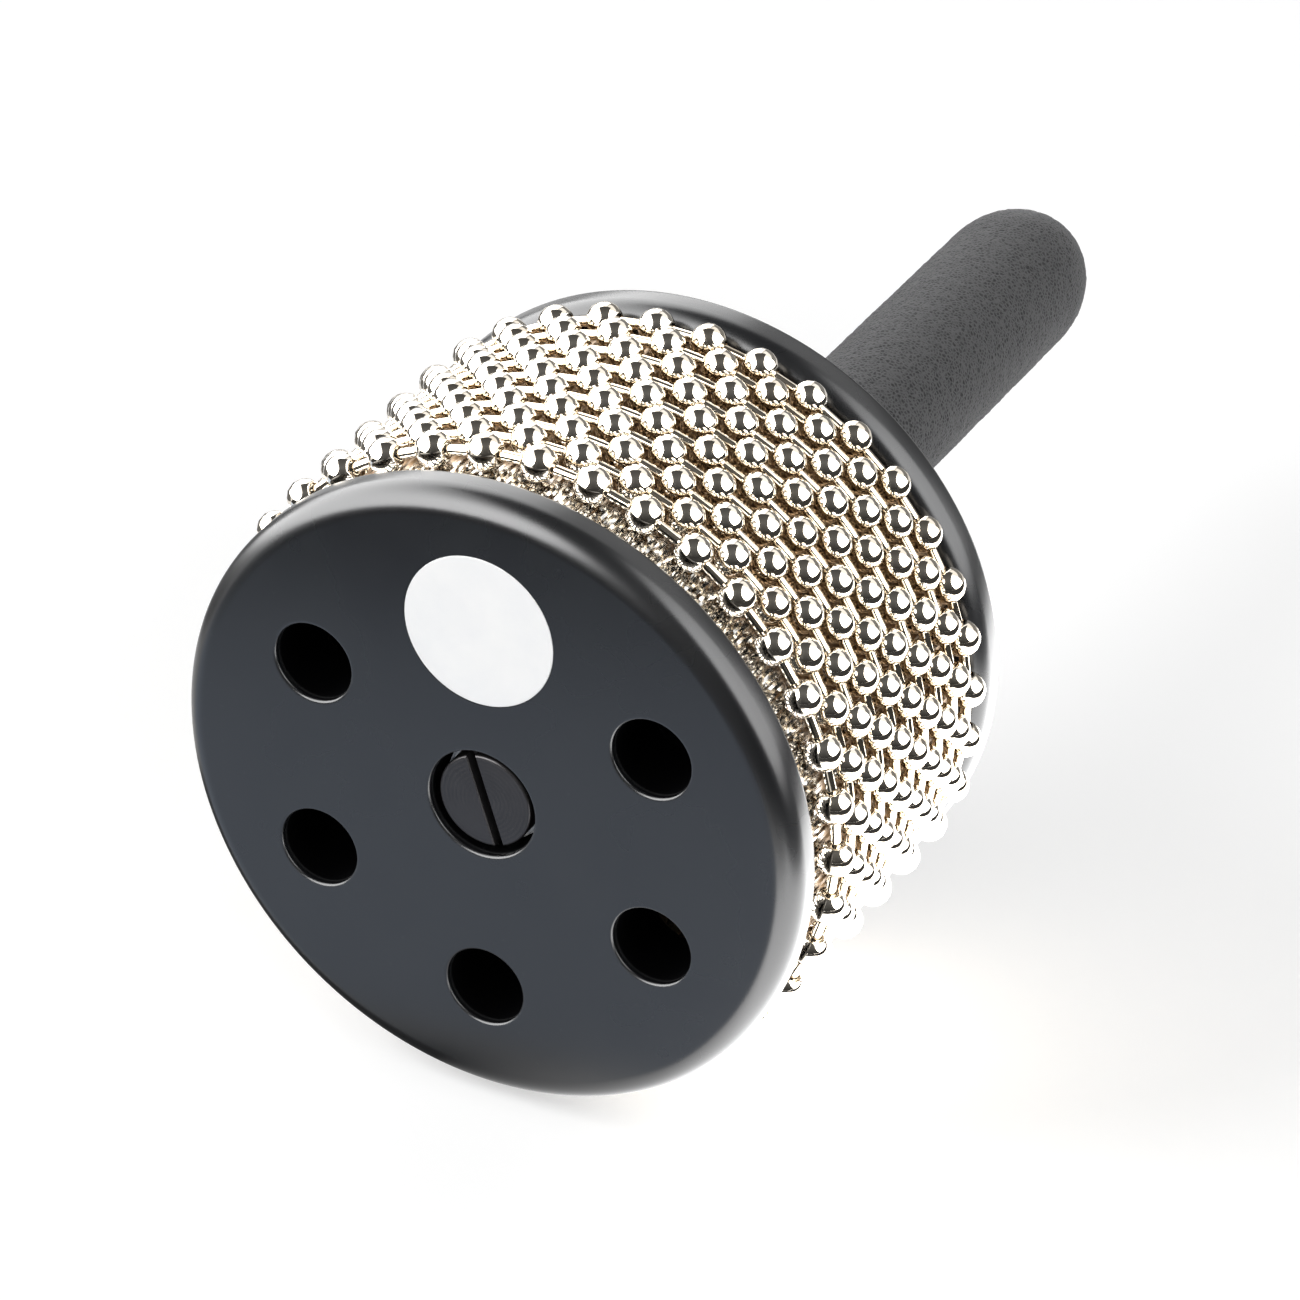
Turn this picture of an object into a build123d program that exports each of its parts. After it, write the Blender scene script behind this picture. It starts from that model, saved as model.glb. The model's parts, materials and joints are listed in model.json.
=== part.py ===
from build123d import *
import math
import os

# Cabasa: a hollow drum with loops of ball chain round it, on a foam-covered handle.
# Sizes are in millimetres. The drum lies on its side, with its axis along +X
# from the front plate to the handle, and stands on the lowest beads at Z = 0.

# Ball chain
bead_radius = 3.175
bead_wall = 0.4
chain_pitch = 9.814
loop_count = 10
nest_gap = 0.98
chain_clearance = 0.3
chain_end_gap = 0.3
chain_slack = 5.1
link_rod_radius = 0.9
link_hole_clearance = 0.15
link_play = 0.05
link_head_gap = 0.12

# Fluted sleeve that the chain runs on
sleeve_radius = 52.8
sleeve_wall = 0.6
flute_pitch = 2.3
flute_depth = 0.3
flute_radius = 1.4

# End plates
plate_lip = 4.2
plate_thickness = 8.0
plate_front_edge_radius = 4.2
plate_back_edge_radius = 1.2
step_clearance = 0.1
step_least_height = 3.0
recess_floor = 6.9
edge_chamfer = 0.4

# Sound holes and label on the front plate, which share six places round the axis
face_places = 6
sound_hole_radius = 7.1
sound_hole_inset = 8.7
label_radius = 13.6
label_margin = 6.4
label_thickness = 0.3
label_clearance = 0.1

# Clamp bolt and washers
bolt_head_radius = 8.5
bolt_head_height = 4.5
bolt_head_sink = 1.1
bolt_shank_radius = 4.0
bolt_tip_reach = 3.0
bolt_clearance = 0.25
recess_clearance = 1.3
slot_width = 1.6
slot_depth = 2.2
slot_angle = 17.5
washer_thickness = 1.5
washer_clearance = 0.5

# Handle
core_radius = 10.0
core_length = 122.0
core_end_chamfer = 2.0
insert_radius = 6.5
insert_length = 25.0
insert_clearance = 0.05
thread_clearance = 0.05
soft_gap = 0.3
grip_wall = 3.7
grip_end_wall = 19.3
grip_dome = 19.0
grip_mouth_radius = 1.5

# Each loop has as many beads as it takes to go round the sleeve with room to turn
running_radius = sleeve_radius + chain_clearance + bead_radius
beads_per_loop = math.ceil(math.pi / math.asin(chain_pitch / (2 * running_radius)))
bead_step = 360 / beads_per_loop
loop_radius = chain_pitch / (2 * math.sin(math.radians(bead_step / 2)))

# Neighbouring loops nest, each bead opposite a link of the next loop
stagger_angle = bead_step / 4
stagger_chord = 2 * loop_radius * math.sin(math.radians(stagger_angle))
nested_spacing = math.sqrt(max((2 * bead_radius + nest_gap) ** 2 - stagger_chord ** 2, 0))
row_spacing = max(nested_spacing, bead_radius + link_rod_radius + nest_gap)
link_hole_radius = link_rod_radius + link_hole_clearance
link_head_radius = (bead_radius - bead_wall - link_play - link_head_gap) / 2
link_head_depth = bead_radius - bead_wall - link_play - link_head_radius
link_head_offset = chain_pitch / 2 - link_head_depth

# Radii that follow the sleeve
flute_count = round(2 * math.pi * sleeve_radius / flute_pitch)
sleeve_valley_radius = sleeve_radius - flute_depth
sleeve_bore_radius = sleeve_valley_radius - sleeve_wall
plate_radius = sleeve_radius + plate_lip
step_radius = sleeve_bore_radius - step_clearance
hole_circle_radius = step_radius - sound_hole_inset - sound_hole_radius
label_circle_radius = plate_radius - plate_front_edge_radius - label_margin - label_radius

# Radii and depths that follow the bolt
recess_radius = bolt_head_radius + recess_clearance
recess_depth = bolt_head_sink + bolt_head_height + washer_thickness
bolt_hole_radius = bolt_shank_radius + bolt_clearance
washer_radius = recess_radius - washer_clearance
step_height = max(recess_depth + recess_floor - plate_thickness, step_least_height)
grip_bore_radius = core_radius + soft_gap
grip_radius = grip_bore_radius + grip_wall

# Places along the axis, counted from the front face
drum_gap = 2 * bead_radius + (loop_count - 1) * row_spacing + chain_end_gap + chain_slack
rear_inner = plate_thickness + drum_gap
rear_outer = rear_inner + plate_thickness
first_row = plate_thickness + chain_slack + bead_radius
core_start = rear_outer + washer_thickness
core_end = core_start + core_length
grip_start = rear_outer + soft_gap
grip_bore_end = core_end + soft_gap
grip_end = grip_bore_end + grip_end_wall
dome_start = grip_end - grip_dome
bolt_head_back = bolt_head_sink + bolt_head_height
bolt_tip = core_start + insert_length + bolt_tip_reach

# The origin is under the middle of the whole length, on the surface that it lies on
front_x = -grip_end / 2
axis_height = loop_radius * math.cos(math.radians(stagger_angle)) + bead_radius
drum_axis = Axis((front_x, 0, axis_height), (1, 0, 0))
profile_plane = Plane(origin=(front_x, 0, axis_height), x_dir=(1, 0, 0), z_dir=(0, -1, 0))


def cross_plane(distance):
    return Plane(origin=(front_x + distance, 0, axis_height), x_dir=(0, 1, 0), z_dir=(1, 0, 0))


def plate_blank(outer_face, inward):
    # A round plate, more rounded at its front edge, with a step that the sleeve fits over
    steps = [
        (0, 0),
        (0, plate_radius),
        (plate_thickness, plate_radius),
        (plate_thickness, step_radius),
        (plate_thickness + step_height, step_radius),
        (plate_thickness + step_height, 0),
    ]
    inner_face = outer_face + inward * plate_thickness
    front_corner = (min(outer_face, inner_face), plate_radius, 0)
    back_corner = (max(outer_face, inner_face), plate_radius, 0)
    with BuildPart() as blank:
        with BuildSketch(profile_plane) as profile:
            with BuildLine():
                Polyline([(outer_face + inward * depth, radius) for depth, radius in steps], close=True)
            make_face()
            fillet(profile.vertices().sort_by_distance(front_corner)[0], plate_front_edge_radius)
            fillet(profile.vertices().sort_by_distance(back_corner)[0], plate_back_edge_radius)
        revolve(axis=drum_axis)
    return blank.part


os.makedirs("parts", exist_ok=True)

# Front plate, with the label in one of the six places and a sound hole in each of the others
place_step = 360 / face_places
with BuildPart() as front_plate:
    add(plate_blank(0, 1))
    with BuildSketch(cross_plane(0)):
        with PolarLocations(
            hole_circle_radius,
            face_places - 1,
            start_angle=90 + place_step,
            angular_range=360 - 2 * place_step,
            endpoint=True,
        ):
            Circle(sound_hole_radius)
    extrude(amount=plate_thickness + step_height, mode=Mode.SUBTRACT)
    with BuildSketch(cross_plane(0)):
        Circle(recess_radius)
    extrude(amount=recess_depth, mode=Mode.SUBTRACT)
    chamfer(front_plate.faces().sort_by(Axis.X)[0].inner_wires().edges(), edge_chamfer)
    with BuildSketch(cross_plane(0)):
        Circle(bolt_hole_radius)
    extrude(amount=plate_thickness + step_height, mode=Mode.SUBTRACT)
    with BuildSketch(cross_plane(0)):
        with Locations((0, label_circle_radius)):
            Circle(label_radius + label_clearance)
    extrude(amount=label_thickness, mode=Mode.SUBTRACT)
front_plate.part.label = "front_plate"
export_step(front_plate.part, "parts/front_plate.step")

# Bare round label, flush in its recess
with BuildPart() as label_disc:
    with BuildSketch(cross_plane(0)):
        with Locations((0, label_circle_radius)):
            Circle(label_radius)
    extrude(amount=label_thickness)
label_disc.part.label = "label_disc"
export_step(label_disc.part, "parts/label_disc.step")

# Rear plate
with BuildPart() as rear_plate:
    add(plate_blank(rear_outer, -1))
    with BuildSketch(cross_plane(rear_inner - step_height)):
        Circle(bolt_hole_radius)
    extrude(amount=step_height + plate_thickness, mode=Mode.SUBTRACT)
rear_plate.part.label = "rear_plate"
export_step(rear_plate.part, "parts/rear_plate.step")

# Fluted steel sleeve, clamped between the plates
with BuildPart() as fluted_sleeve:
    with BuildSketch(cross_plane(plate_thickness)):
        Circle(sleeve_valley_radius)
        with PolarLocations(sleeve_radius - flute_radius, flute_count):
            Circle(flute_radius)
        Circle(sleeve_bore_radius, mode=Mode.SUBTRACT)
    extrude(amount=drum_gap)
fluted_sleeve.part.label = "fluted_sleeve"
export_step(fluted_sleeve.part, "parts/fluted_sleeve.step")

# Slotted bolt that clamps the drum to the handle
with BuildPart() as clamp_bolt:
    with BuildSketch(cross_plane(bolt_head_sink)):
        Circle(bolt_head_radius)
    extrude(amount=bolt_head_height)
    with BuildSketch(cross_plane(bolt_head_back)):
        Circle(bolt_shank_radius)
    extrude(amount=bolt_tip - bolt_head_back)
    bolt_ends = clamp_bolt.faces().sort_by(Axis.X)
    chamfer(bolt_ends[0].edges() + bolt_ends[-1].edges(), edge_chamfer)
    with BuildSketch(cross_plane(bolt_head_sink)):
        Rectangle(slot_width, 2 * recess_radius, rotation=-slot_angle)
    extrude(amount=slot_depth, mode=Mode.SUBTRACT)
clamp_bolt.part.label = "clamp_bolt"
export_step(clamp_bolt.part, "parts/clamp_bolt.step")

# Washer under the bolt head
with BuildPart() as bolt_washer:
    with BuildSketch(cross_plane(bolt_head_back)):
        Circle(washer_radius)
        Circle(bolt_hole_radius, mode=Mode.SUBTRACT)
    extrude(amount=washer_thickness)
bolt_washer.part.label = "bolt_washer"
export_step(bolt_washer.part, "parts/bolt_washer.step")

# Washer between the rear plate and the handle core
with BuildPart() as handle_washer:
    with BuildSketch(cross_plane(rear_outer)):
        Circle(core_radius)
        Circle(bolt_hole_radius, mode=Mode.SUBTRACT)
    extrude(amount=washer_thickness)
handle_washer.part.label = "handle_washer"
export_step(handle_washer.part, "parts/handle_washer.step")

# Wooden core of the handle, with a pocket for the insert and a pilot hole for the bolt's tip
with BuildPart() as handle_core:
    with BuildSketch(cross_plane(core_start)):
        Circle(core_radius)
    extrude(amount=core_length)
    chamfer(handle_core.faces().sort_by(Axis.X)[-1].edges(), core_end_chamfer)
    with BuildSketch(cross_plane(core_start)):
        Circle(insert_radius + insert_clearance)
    extrude(amount=insert_length, mode=Mode.SUBTRACT)
    with BuildSketch(cross_plane(core_start + insert_length)):
        Circle(bolt_hole_radius)
    extrude(amount=2 * bolt_tip_reach, mode=Mode.SUBTRACT)
handle_core.part.label = "handle_core"
export_step(handle_core.part, "parts/handle_core.step")

# Brass insert that the bolt screws into
with BuildPart() as threaded_insert:
    with BuildSketch(cross_plane(core_start)):
        Circle(insert_radius)
        Circle(bolt_shank_radius + thread_clearance, mode=Mode.SUBTRACT)
    extrude(amount=insert_length)
threaded_insert.part.label = "threaded_insert"
export_step(threaded_insert.part, "parts/threaded_insert.step")

# Foam grip, a tube with a domed closed end
with BuildPart() as foam_grip:
    with BuildSketch(profile_plane):
        with BuildLine():
            Polyline(
                (grip_end, 0),
                (grip_bore_end, 0),
                (grip_bore_end, grip_bore_radius),
                (grip_start, grip_bore_radius),
                (grip_start, grip_radius),
                (dome_start, grip_radius),
            )
            EllipticalCenterArc((dome_start, 0), grip_dome, grip_radius, start_angle=0, arc_size=90)
        make_face()
    revolve(axis=drum_axis)
    fillet(foam_grip.faces().sort_by(Axis.X)[0].outer_wire().edges(), grip_mouth_radius)
foam_grip.part.label = "foam_grip"
export_step(foam_grip.part, "parts/foam_grip.step")

# One hollow bead: X points away from the drum's axis, Y along the chain
chord_tilt = math.radians(bead_step / 2)
with BuildPart() as bead:
    Sphere(bead_radius)
    Sphere(bead_radius - bead_wall, mode=Mode.SUBTRACT)
    for side in (1, -1):
        with BuildSketch(Plane((0, 0, 0), z_dir=(-math.sin(chord_tilt), side * math.cos(chord_tilt), 0))):
            Circle(link_hole_radius)
        extrude(amount=bead_radius, mode=Mode.SUBTRACT)

# One link: a rod along Y with a ball at each end, which the beads hold
with BuildPart() as link:
    Cylinder(link_rod_radius, 2 * link_head_offset, rotation=(90, 0, 0))
    with Locations((0, link_head_offset, 0), (0, -link_head_offset, 0)):
        Sphere(link_head_radius)

# Loops of chain, numbered from the front plate
link_circle_radius = loop_radius * math.cos(chord_tilt)
for row in range(loop_count):
    row_plane = cross_plane(first_row + row * row_spacing)
    row_angle = stagger_angle if row % 2 == 0 else -stagger_angle
    row_number = f"{row + 1:02d}"
    with BuildPart(row_plane) as chain_beads:
        with PolarLocations(loop_radius, beads_per_loop, start_angle=row_angle):
            add(bead.part)
    chain_beads.part.label = "chain_beads_" + row_number
    export_step(chain_beads.part, f"parts/chain_beads_{row_number}.step")
    with BuildPart(row_plane) as chain_links:
        with PolarLocations(link_circle_radius, beads_per_loop, start_angle=row_angle + bead_step / 2):
            add(link.part)
    chain_links.part.label = "chain_links_" + row_number
    export_step(chain_links.part, f"parts/chain_links_{row_number}.step")

print(f"beads per loop {beads_per_loop}, loop radius {loop_radius:.3f}, row spacing {row_spacing:.3f}")
print(f"plate radius {plate_radius:.2f}, drum gap {drum_gap:.2f}, whole length {grip_end:.2f}")
print(f"axis height {axis_height:.3f}, front face at X {front_x:.3f}")
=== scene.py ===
import json
import math

import bmesh
import bpy
from mathutils import Matrix, Vector, noise

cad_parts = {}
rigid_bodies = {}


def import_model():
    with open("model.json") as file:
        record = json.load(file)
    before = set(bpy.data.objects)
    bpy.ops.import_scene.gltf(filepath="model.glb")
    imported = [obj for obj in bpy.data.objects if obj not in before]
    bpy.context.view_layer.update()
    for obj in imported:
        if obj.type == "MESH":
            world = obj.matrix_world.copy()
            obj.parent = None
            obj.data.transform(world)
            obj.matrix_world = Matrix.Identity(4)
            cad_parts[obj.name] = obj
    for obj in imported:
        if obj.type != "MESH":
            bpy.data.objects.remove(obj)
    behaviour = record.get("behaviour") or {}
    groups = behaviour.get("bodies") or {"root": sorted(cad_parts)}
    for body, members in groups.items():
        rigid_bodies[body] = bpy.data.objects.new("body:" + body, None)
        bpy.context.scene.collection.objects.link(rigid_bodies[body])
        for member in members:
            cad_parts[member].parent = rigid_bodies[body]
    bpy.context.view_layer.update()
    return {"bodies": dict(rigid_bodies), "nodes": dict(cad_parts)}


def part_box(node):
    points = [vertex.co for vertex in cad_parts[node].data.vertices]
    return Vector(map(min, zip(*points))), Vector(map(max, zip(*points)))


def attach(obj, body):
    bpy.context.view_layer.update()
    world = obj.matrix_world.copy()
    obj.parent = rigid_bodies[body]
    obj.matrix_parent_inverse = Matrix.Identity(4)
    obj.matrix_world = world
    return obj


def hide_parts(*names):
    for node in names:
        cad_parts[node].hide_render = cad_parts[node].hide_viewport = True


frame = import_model()

scene = bpy.context.scene
scene.view_settings.view_transform = "Standard"

# The drum's axis runs along +X; distances along it are counted from the front face
frontLow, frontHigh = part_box("front_plate")
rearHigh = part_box("rear_plate")[1]
sleeveLow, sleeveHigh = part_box("fluted_sleeve")
gripLow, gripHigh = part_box("foam_grip")
boltLow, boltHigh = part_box("clamp_bolt")
labelLow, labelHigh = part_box("label_disc")
frontX = frontLow.x
axisZ = (frontLow.z + frontHigh.z) / 2
plateRadius = (frontHigh.y - frontLow.y) / 2
drumAxis = Vector((frontX, 0, axisZ))


# Helpers for meshes

def arcSteps(centre, radius, startDegrees, endDegrees, steps):
    points = []
    for i in range(steps + 1):
        angle = math.radians(startDegrees + (endDegrees - startDegrees) * i / steps)
        points.append((centre[0] + radius * math.cos(angle), centre[1] + radius * math.sin(angle)))
    return points


def addRing(bm, centre, distance, radius, segments):
    # a ring round an axis along X; a radius of nothing gives one point
    if radius == 0:
        return [bm.verts.new(centre + Vector((distance, 0, 0)))]
    ring = []
    for i in range(segments):
        angle = 2 * math.pi * i / segments
        offset = Vector((distance, radius * math.cos(angle), radius * math.sin(angle)))
        ring.append(bm.verts.new(centre + offset))
    return ring


def bridgeRings(bm, near, far):
    count = max(len(near), len(far))
    for i in range(count):
        j = (i + 1) % count
        if len(near) == 1:
            bm.faces.new((near[0], far[i], far[j]))
        elif len(far) == 1:
            bm.faces.new((near[i], near[j], far[0]))
        else:
            bm.faces.new((near[i], near[j], far[j], far[i]))


def addLathe(bm, profile, centre, segments, closed=False):
    rings = [addRing(bm, centre, distance, radius, segments) for distance, radius in profile]
    for near, far in zip(rings, rings[1:]):
        bridgeRings(bm, near, far)
    if closed:
        bridgeRings(bm, rings[-1], rings[0])
    return rings


def fillBetween(bm, rings):
    # flat skin with holes between rings that lie in one plane
    edges = []
    for ring in rings:
        for i in range(len(ring)):
            edge = bm.edges.get((ring[i], ring[(i + 1) % len(ring)]))
            edges.append(edge)
    bmesh.ops.triangle_fill(bm, use_beauty=True, use_dissolve=False, edges=edges)


def plainMesh(bm, name):
    mesh = bpy.data.meshes.new(name)
    bm.to_mesh(mesh)
    bm.free()
    return mesh


def finishMesh(bm, name, sharpDegrees=35):
    bmesh.ops.recalc_face_normals(bm, faces=bm.faces)
    mesh = plainMesh(bm, name)
    mesh.shade_smooth()
    if sharpDegrees:
        mesh.set_sharp_from_angle(angle=math.radians(sharpDegrees))
    return mesh


def addObject(name, data):
    thing = bpy.data.objects.new(name, data)
    scene.collection.objects.link(thing)
    return thing


def bakeObject(thing, name):
    # keeps what the object's modifiers make of it, as a plain mesh
    mesh = bpy.data.meshes.new_from_object(thing.evaluated_get(bpy.context.evaluated_depsgraph_get()))
    bpy.data.objects.remove(thing)
    mesh.name = name
    return mesh


def placePiece(name, mesh, material, body, slot, *nodes):
    piece = addObject(name, mesh)
    mesh.materials.clear()
    mesh.materials.append(material)
    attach(piece, body)
    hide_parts(*nodes)
    return piece


# Helpers for node trees

def wire(tree, value, socket):
    if isinstance(value, bpy.types.NodeSocket):
        tree.links.new(value, socket)
    else:
        socket.default_value = value


def addNode(tree, kind, **settings):
    node = tree.nodes.new(kind)
    for key, value in settings.items():
        setattr(node, key, value)
    return node


def maths(tree, operation, first, second=0.0, kind="ShaderNodeMath"):
    node = addNode(tree, kind, operation=operation)
    wire(tree, first, node.inputs[0])
    wire(tree, second, node.inputs[1])
    return node.outputs[0]


def combine(tree, x, y, z):
    node = addNode(tree, "ShaderNodeCombineXYZ")
    for value, socket in zip((x, y, z), node.inputs):
        wire(tree, value, socket)
    return node.outputs[0]


def spread(tree, value, low, high, fromLow=0.0, fromHigh=1.0, kind="LINEAR"):
    node = addNode(tree, "ShaderNodeMapRange", interpolation_type=kind)
    wire(tree, value, node.inputs["Value"])
    wire(tree, fromLow, node.inputs["From Min"])
    wire(tree, fromHigh, node.inputs["From Max"])
    wire(tree, low, node.inputs["To Min"])
    wire(tree, high, node.inputs["To Max"])
    return node.outputs["Result"]


def mixColours(tree, factor, first, second):
    node = addNode(tree, "ShaderNodeMix", data_type="RGBA")
    wire(tree, factor, node.inputs[0])
    wire(tree, first, node.inputs[6])
    wire(tree, second, node.inputs[7])
    return node.outputs[2]


def noiseField(tree, vector, scale, detail=2.0, roughness=0.5):
    node = addNode(tree, "ShaderNodeTexNoise")
    wire(tree, vector, node.inputs["Vector"])
    wire(tree, scale, node.inputs["Scale"])
    wire(tree, detail, node.inputs["Detail"])
    wire(tree, roughness, node.inputs["Roughness"])
    return node.outputs[0]


def stretch(tree, vector, location=(0, 0, 0), scale=(1, 1, 1)):
    node = addNode(tree, "ShaderNodeMapping")
    wire(tree, vector, node.inputs["Vector"])
    node.inputs["Location"].default_value = location
    node.inputs["Scale"].default_value = scale
    return node.outputs[0]


def bumpFrom(tree, height, strength, distance):
    node = addNode(tree, "ShaderNodeBump")
    node.inputs["Strength"].default_value = strength
    node.inputs["Distance"].default_value = distance
    wire(tree, height, node.inputs["Height"])
    return node.outputs[0]


def newMaterial(name, **values):
    material = bpy.data.materials.new(name)
    material.use_nodes = True
    tree = material.node_tree
    shader = tree.nodes["Principled BSDF"]
    for key, value in values.items():
        shader.inputs[key.replace("_", " ")].default_value = value
    place = addNode(tree, "ShaderNodeTexCoord").outputs["Object"]
    return material, tree, shader, place


def useGroup(tree, group, **values):
    node = addNode(tree, "ShaderNodeGroup", node_tree=group)
    for key, value in values.items():
        wire(tree, value, node.inputs[key])
    return node.outputs


def newGroup(name, inputs, outputs):
    group = bpy.data.node_groups.new(name, "ShaderNodeTree")
    for label, kind in inputs:
        group.interface.new_socket(label, in_out="INPUT", socket_type="NodeSocket" + kind)
    for label, kind in outputs:
        group.interface.new_socket(label, in_out="OUTPUT", socket_type="NodeSocket" + kind)
    source = addNode(group, "NodeGroupInput")
    target = addNode(group, "NodeGroupOutput")
    return group, source.outputs, target.inputs


# Shader groups that several finishes share

def makeHandlingMarks():
    # soft smears and fine specks where hands and dust have been
    group, given, out = newGroup(
        "handlingMarks",
        [("Vector", "Vector"), ("Smear", "Float"), ("Speck", "Float")],
        [("Smears", "Float"), ("Specks", "Float")],
    )
    warp = noiseField(group, given["Vector"], given["Smear"], detail=4.0, roughness=0.6)
    smears = spread(group, warp, 0.0, 1.0, fromLow=0.2, fromHigh=0.8, kind="SMOOTHSTEP")
    wire(group, smears, out["Smears"])
    dots = addNode(group, "ShaderNodeTexVoronoi")
    wire(group, given["Vector"], dots.inputs["Vector"])
    wire(group, given["Speck"], dots.inputs["Scale"])
    specks = spread(group, dots.outputs["Distance"], 1.0, 0.0, fromLow=0.02, fromHigh=0.13, kind="SMOOTHSTEP")
    wire(group, specks, out["Specks"])
    return group


def makeFineGrain():
    # the small unevenness of a sprayed, moulded or sawn surface
    group, given, out = newGroup(
        "fineGrain",
        [("Vector", "Vector"), ("Coarse", "Float"), ("Fine", "Float")],
        [("Height", "Float"), ("Tone", "Float")],
    )
    coarse = noiseField(group, given["Vector"], given["Coarse"], detail=3.0, roughness=0.55)
    fine = noiseField(group, given["Vector"], given["Fine"], detail=2.0, roughness=0.5)
    fineShare = maths(group, "MULTIPLY", fine, 0.6)
    coarseShare = maths(group, "MULTIPLY", coarse, 0.4)
    wire(group, maths(group, "ADD", fineShare, coarseShare), out["Height"])
    wire(group, spread(group, coarse, 0.0, 1.0, fromLow=0.3, fromHigh=0.7), out["Tone"])
    return group


handlingMarks = makeHandlingMarks()
fineGrain = makeFineGrain()


# Finishes; a pair of tones or of roughnesses is the two ends that a pattern runs between

lacquer = {
    "tones": ((0.0024, 0.0028, 0.0038, 1), (0.0034, 0.0038, 0.0048, 1)),
    "roughness": (0.25, 0.3),
    "dust": (0.25, 0.25, 0.26, 1),
    "dustShare": 0.015,
    # painted shade in the bores of the front plate: the near-black tone, its roughness, and the depths over
    # which it sets in
    "boreShade": (0.0012, 0.0012, 0.0014, 1),
    "boreShadeRoughness": 0.85,
    "boreShadeDepth": (0.0005, 0.0016),
    "rimBand": 0.006,
}


def makePlateLacquer(name, bored):
    # satin black lacquer; the bores of the front plate are painted near-black and show no light, as painted
    # shade in the holes
    material, tree, shader, place = newMaterial(name, Specular_IOR_Level=0.5)
    marks = useGroup(tree, handlingMarks, Vector=place, Smear=22.0, Speck=260.0)
    grain = useGroup(tree, fineGrain, Vector=place, Coarse=90.0, Fine=1500.0)
    tone = mixColours(tree, grain["Tone"], *lacquer["tones"])
    dusty = maths(tree, "MULTIPLY", marks["Specks"], lacquer["dustShare"])
    tone = mixColours(tree, dusty, tone, lacquer["dust"])
    polish = spread(tree, marks["Smears"], *lacquer["roughness"])
    # painted shade: the walls of the bores, away from the rim, turn near-black and metallic so that they show
    # no light
    if bored:
        parts = addNode(tree, "ShaderNodeSeparateXYZ")
        wire(tree, stretch(tree, place, location=(-frontX, 0, -axisZ)), parts.inputs[0])
        across = addNode(tree, "ShaderNodeVectorMath", operation="LENGTH")
        wire(tree, combine(tree, 0.0, parts.outputs[1], parts.outputs[2]), across.inputs[0])
        deep = spread(tree, parts.outputs[0], 0.0, 1.0, *lacquer["boreShadeDepth"])
        within = maths(tree, "LESS_THAN", across.outputs["Value"], plateRadius - lacquer["rimBand"])
        inside = maths(tree, "MULTIPLY", deep, within)
        tone = mixColours(tree, inside, tone, lacquer["boreShade"])
        dull = maths(tree, "MULTIPLY", inside, lacquer["boreShadeRoughness"])
        polish = maths(tree, "MAXIMUM", polish, dull)
        wire(tree, inside, shader.inputs["Metallic"])
    wire(tree, tone, shader.inputs["Base Color"])
    wire(tree, polish, shader.inputs["Roughness"])
    wire(tree, bumpFrom(tree, grain["Height"], strength=0.05, distance=0.00003), shader.inputs["Normal"])
    return material


film = {"tones": ((0.87, 0.875, 0.88, 1), (0.91, 0.91, 0.905, 1)), "roughness": 0.42}


def makeLabelWhite():
    material, tree, shader, place = newMaterial("labelWhite", Roughness=film["roughness"])
    grain = useGroup(tree, fineGrain, Vector=place, Coarse=160.0, Fine=2600.0)
    wire(tree, mixColours(tree, grain["Tone"], *film["tones"]), shader.inputs["Base Color"])
    wire(tree, bumpFrom(tree, grain["Height"], strength=0.12, distance=0.00003), shader.inputs["Normal"])
    return material


steel = {
    "cleanTones": ((0.72, 0.71, 0.7, 1), (0.64, 0.63, 0.61, 1)),
    # the darker tones, which set in over the given span from the sleeve's front end, are painted shade under
    # the chain
    "chainShadeTones": ((0.24, 0.165, 0.1, 1), (0.16, 0.105, 0.06, 1)),
    "shadeStart": 0.0085,
    "shadeFull": 0.0125,
    "roughness": (0.08, 0.28),
    "smearRoughness": 0.05,
    "innerRoughness": 0.35,
}


def makeSleeveSteel():
    # polished beside the front plate, darkened under the chain as painted shade, dull inside
    material, tree, shader, place = newMaterial("sleeveSteel", Metallic=1.0)
    inner = addNode(tree, "ShaderNodeAttribute", attribute_name="inner").outputs["Fac"]
    parts = addNode(tree, "ShaderNodeSeparateXYZ")
    wire(tree, place, parts.inputs[0])
    # painted shade: the steel turns dark brown where the chain lies over it
    shadeStart = sleeveLow.x + steel["shadeStart"]
    shadeFull = sleeveLow.x + steel["shadeFull"]
    underChain = spread(tree, parts.outputs[0], 0.0, 1.0, shadeStart, shadeFull, "SMOOTHSTEP")
    marks = useGroup(tree, handlingMarks, Vector=place, Smear=60.0, Speck=500.0)
    clean = mixColours(tree, marks["Smears"], *steel["cleanTones"])
    dark = mixColours(tree, marks["Smears"], *steel["chainShadeTones"])
    wire(tree, mixColours(tree, underChain, clean, dark), shader.inputs["Base Color"])
    smeared = maths(tree, "MULTIPLY", marks["Smears"], steel["smearRoughness"])
    polish = maths(tree, "ADD", spread(tree, underChain, *steel["roughness"]), smeared)
    dull = maths(tree, "MULTIPLY", inner, steel["innerRoughness"])
    wire(tree, maths(tree, "ADD", polish, dull), shader.inputs["Roughness"])
    return material


nickel = {
    "beadTones": ((0.74, 0.69, 0.61, 1), (0.69, 0.62, 0.52, 1)),
    "linkTones": ((0.7, 0.64, 0.54, 1), (0.64, 0.55, 0.43, 1)),
    "tarnish": (0.45, 0.36, 0.26, 1),
    "tarnishShare": 0.2,
    "roughness": 0.03,
    "ownRoughness": 0.02,
    "smearRoughness": 0.035,
}


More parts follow.
